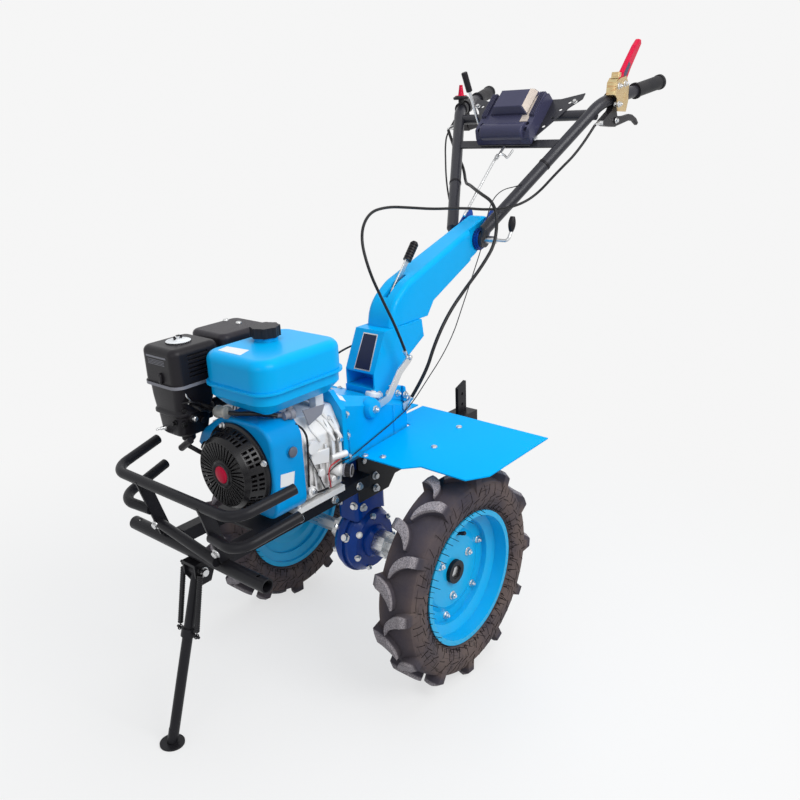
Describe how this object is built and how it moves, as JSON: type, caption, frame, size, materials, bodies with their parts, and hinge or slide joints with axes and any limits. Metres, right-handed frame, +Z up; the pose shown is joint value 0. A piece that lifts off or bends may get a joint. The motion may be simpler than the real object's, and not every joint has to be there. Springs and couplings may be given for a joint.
{
  "type": "power weeder",
  "caption": "Walking two-wheel power weeder with a petrol engine, lugged tyres, tall hinged handlebar, front tube guard and a fold-up parking stand.",
  "frame": {"origin": "on the ground, below the centre of the machine's bounding box, with the machine standing on its wheels and its parking stand", "axes": "+X forward, from the handlebar to the engine guard; +Y to the machine's left, along the wheel axle; +Z up"},
  "size_m": [1.5857, 0.796, 1.5462],
  "materials": {
    "sky_blue_paint": "gloss sky-blue enamel, dusty in the corners",
    "blue_cast_paint": "sky-blue enamel over rough cast iron",
    "deep_blue_paint": "semi-gloss deep-blue enamel",
    "black_paint": "semi-gloss black enamel",
    "gunmetal_paint": "grey-black hammered powder coat",
    "tyre_rubber": "matt black rubber, dusty brown",
    "grip_rubber": "matt black rubber",
    "black_plastic": "matt black moulded plastic",
    "panel_plastic": "dark purple-black moulded plastic",
    "red_plastic": "gloss red plastic",
    "cast_alloy": "sand-cast and die-cast, satin",
    "bright_steel": "zinc-plated, satin",
    "zinc_steel": "yellow-passivated zinc",
    "hot_steel": "heat-proof matt black",
    "spring_steel": "oiled spring steel"
  },
  "bodies": {
    "chassis": {"air_filter": "black_plastic", "carburettor": "black_plastic", "clamp_discs": "deep_blue_paint", "clutch_cable": "black_plastic", "clutch_lever": "bright_steel", "column_cover": "sky_blue_paint", "crankcase": "cast_alloy", "cylinder": "cast_alloy", "depth_bar": "black_paint", "drive_cable": "black_plastic", "engine_frame": "black_paint", "fan_shroud": "sky_blue_paint", "fender_brackets": "black_paint", "final_drive": "blue_cast_paint", "front_cross_tube": "black_paint", "fuel_cap": "black_plastic", "fuel_tank": "sky_blue_paint", "gear_column": "blue_cast_paint", "gear_lever": "bright_steel", "gearbox": "blue_cast_paint", "guard_uprights": "black_paint", "handle_seat": "sky_blue_paint", "left_fender": "sky_blue_paint", "lower_guard_tubes": "black_paint", "muffler": "hot_steel", "rear_hitch": "black_paint", "recoil_starter": "black_plastic", "right_fender": "sky_blue_paint", "stand_bracket": "black_paint", "stand_springs": "spring_steel", "starter_grip": "black_plastic", "throttle_cable": "black_plastic", "upper_guard_tube": "black_paint"},
    "left_wheel": {"left_tyre": "tyre_rubber", "left_rim": "sky_blue_paint", "left_hub": "black_paint", "left_axle": "bright_steel"},
    "right_wheel": {"right_tyre": "tyre_rubber", "right_rim": "sky_blue_paint", "right_hub": "black_paint", "right_axle": "bright_steel"},
    "stand": {"stand_leg": "black_paint"},
    "handlebar": {"handle_clevis": "deep_blue_paint", "left_handle_tube": "gunmetal_paint", "right_handle_tube": "gunmetal_paint", "handle_cross_tube": "gunmetal_paint", "handle_cross_bar": "gunmetal_paint", "handle_grips": "grip_rubber", "panel_bracket": "gunmetal_paint", "control_panel": "panel_plastic", "hand_levers": "black_plastic", "release_bracket": "zinc_steel", "release_lever": "red_plastic", "throttle_lever": "red_plastic", "shift_lever": "bright_steel", "shift_rod": "bright_steel", "locking_crank": "bright_steel"}
  },
  "joints": [
    {"name": "left_wheel_spin", "type": "hinge", "parent": "chassis", "child": "left_wheel", "pos_m": [0.157, 0.297, 0.262], "axis": [0, 1, 0], "continuous": true},
    {"name": "right_wheel_spin", "type": "hinge", "parent": "chassis", "child": "right_wheel", "pos_m": [0.157, -0.297, 0.262], "axis": [0, 1, 0], "continuous": true},
    {"name": "stand_fold", "type": "hinge", "parent": "chassis", "child": "stand", "pos_m": [0.67751, 0, 0.37485], "axis": [0, 1, 0], "range_deg": [0, 95], "deforming": ["stand_springs"]},
    {"name": "handle_tilt", "type": "hinge", "parent": "chassis", "child": "handlebar", "pos_m": [-0.27667, 0, 1.00681], "axis": [0, 1, 0], "range_deg": [-35, 10], "deforming": ["clutch_cable", "drive_cable", "throttle_cable"]}
  ]
}
